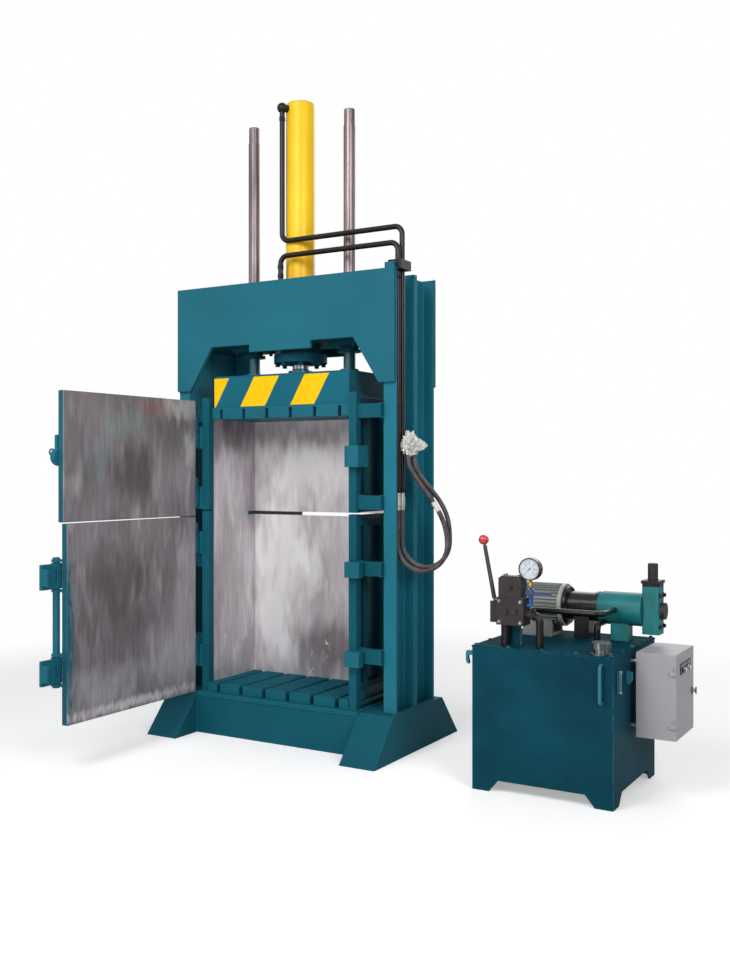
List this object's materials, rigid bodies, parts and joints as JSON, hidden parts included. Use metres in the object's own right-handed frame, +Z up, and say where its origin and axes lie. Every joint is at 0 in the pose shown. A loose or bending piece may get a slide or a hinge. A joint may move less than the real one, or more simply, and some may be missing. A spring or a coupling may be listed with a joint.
{
  "type": "vertical baler",
  "caption": "upright hydraulic baling press with a chamber, swing doors, a guided ram plate and a separate power unit on a tank",
  "frame": {"origin": "on the floor under the middle of the four columns", "axes": "+X to the right seen from the doors, +Y from the door side to the back, +Z up"},
  "size_m": [2.7943, 1.81, 3.41],
  "materials": {
    "teal_paint": "semi-gloss paint",
    "yellow_paint": "semi-gloss paint",
    "bare_steel": "ground bare steel",
    "dark_steel": "oiled dark steel",
    "chromed_steel": "polished",
    "zinc_steel": "zinc plated",
    "black_metal": "satin black",
    "hose_rubber": "matte",
    "white_film": "crumpled film",
    "motor_paint": "grey paint",
    "pump_green": "semi-gloss paint",
    "valve_blue": "satin",
    "box_grey": "satin paint",
    "red_knob": "gloss",
    "handle_blue": "satin"
  },
  "bodies": {
    "press": {"base_cross_beams": "teal_paint", "base_side_beams": "teal_paint", "bell_housing": "black_metal", "chamber_posts": "teal_paint", "chamber_rear_walls": "bare_steel", "chamber_side_walls": "bare_steel", "chamber_stiffeners": "teal_paint", "chamber_ties": "teal_paint", "columns": "teal_paint", "control_box": "box_grey", "control_box_standoffs": "zinc_steel", "control_valve": "black_metal", "crosshead_bearer": "teal_paint", "crosshead_plates": "teal_paint", "crosshead_ribs": "teal_paint", "cylinder_barrel": "yellow_paint", "cylinder_cap": "yellow_paint", "cylinder_gland": "teal_paint", "filler_cap": "black_metal", "floor_plate": "teal_paint", "floor_ribs": "teal_paint", "front_hose": "hose_rubber", "gauge_valve": "valve_blue", "guide_sleeves": "teal_paint", "hinge_lugs": "teal_paint", "hinge_pins": "dark_steel", "hose_fittings": "zinc_steel", "hose_wrap": "white_film", "lock_receivers": "teal_paint", "motor": "motor_paint", "pipe_joints": "black_metal", "pressure_gauge": "black_metal", "pressure_pipes": "black_metal", "pump": "pump_green", "pump_knobs": "black_metal", "rear_hose": "hose_rubber", "tank": "teal_paint", "tank_fittings": "black_metal", "tank_lid": "teal_paint", "unit_pipes": "black_metal"},
    "platen": {"platen_body": "teal_paint", "platen_shoe": "teal_paint", "platen_ribs": "teal_paint", "piston_rod": "chromed_steel", "guide_rods": "dark_steel"},
    "upper_door": {"upper_door_frame": "teal_paint", "upper_door_liner": "bare_steel"},
    "lower_door": {"lower_door_frame": "teal_paint", "lower_door_liner": "bare_steel", "lock_bearings": "teal_paint"},
    "latch": {"upper_latch": "teal_paint"},
    "lock": {"lock_bar": "teal_paint"},
    "lever": {"valve_lever": "chromed_steel", "lever_ball": "red_knob"},
    "gauge_handle": {"gauge_valve_handle": "handle_blue"},
    "box_door": {"control_box_door": "box_grey", "button_panel": "black_metal"}
  },
  "joints": [
    {"name": "platen_slide", "type": "slide", "parent": "press", "child": "platen", "axis": [0, 0, 1], "range_m": [-1.1, 0]},
    {"name": "upper_door_hinge", "type": "hinge", "parent": "press", "child": "upper_door", "pos_m": [-0.515, -0.288, 1.492], "axis": [0, 0, 1], "range_deg": [-80, 91.5]},
    {"name": "lower_door_hinge", "type": "hinge", "parent": "press", "child": "lower_door", "pos_m": [-0.515, -0.288, 0.702], "axis": [0, 0, 1], "range_deg": [-80, 90]},
    {"name": "upper_latch_turn", "type": "hinge", "parent": "upper_door", "child": "latch", "pos_m": [-0.55534, -1.21726, 1.49], "axis": [-0.9997, 0.0262, 0], "range_deg": [-90, 0]},
    {"name": "lower_lock_turn", "type": "hinge", "parent": "lower_door", "child": "lock", "pos_m": [-0.571, -1.236, 0.709], "axis": [0, 0, 1], "range_deg": [-70, 0]},
    {"name": "valve_lever_tilt", "type": "hinge", "parent": "press", "child": "lever", "pos_m": [1.306, -0.402, 0.825], "axis": [0, 1, 0], "range_deg": [-20, 20]},
    {"name": "gauge_valve_turn", "type": "hinge", "parent": "press", "child": "gauge_handle", "pos_m": [1.475, -0.432, 0.886], "axis": [0, 1, 0], "range_deg": [0, 90]},
    {"name": "control_box_door_hinge", "type": "hinge", "parent": "press", "child": "box_door", "pos_m": [2.0663, -0.2465, 0.452], "axis": [0, 0, 1], "range_deg": [-110, 0]}
  ]
}
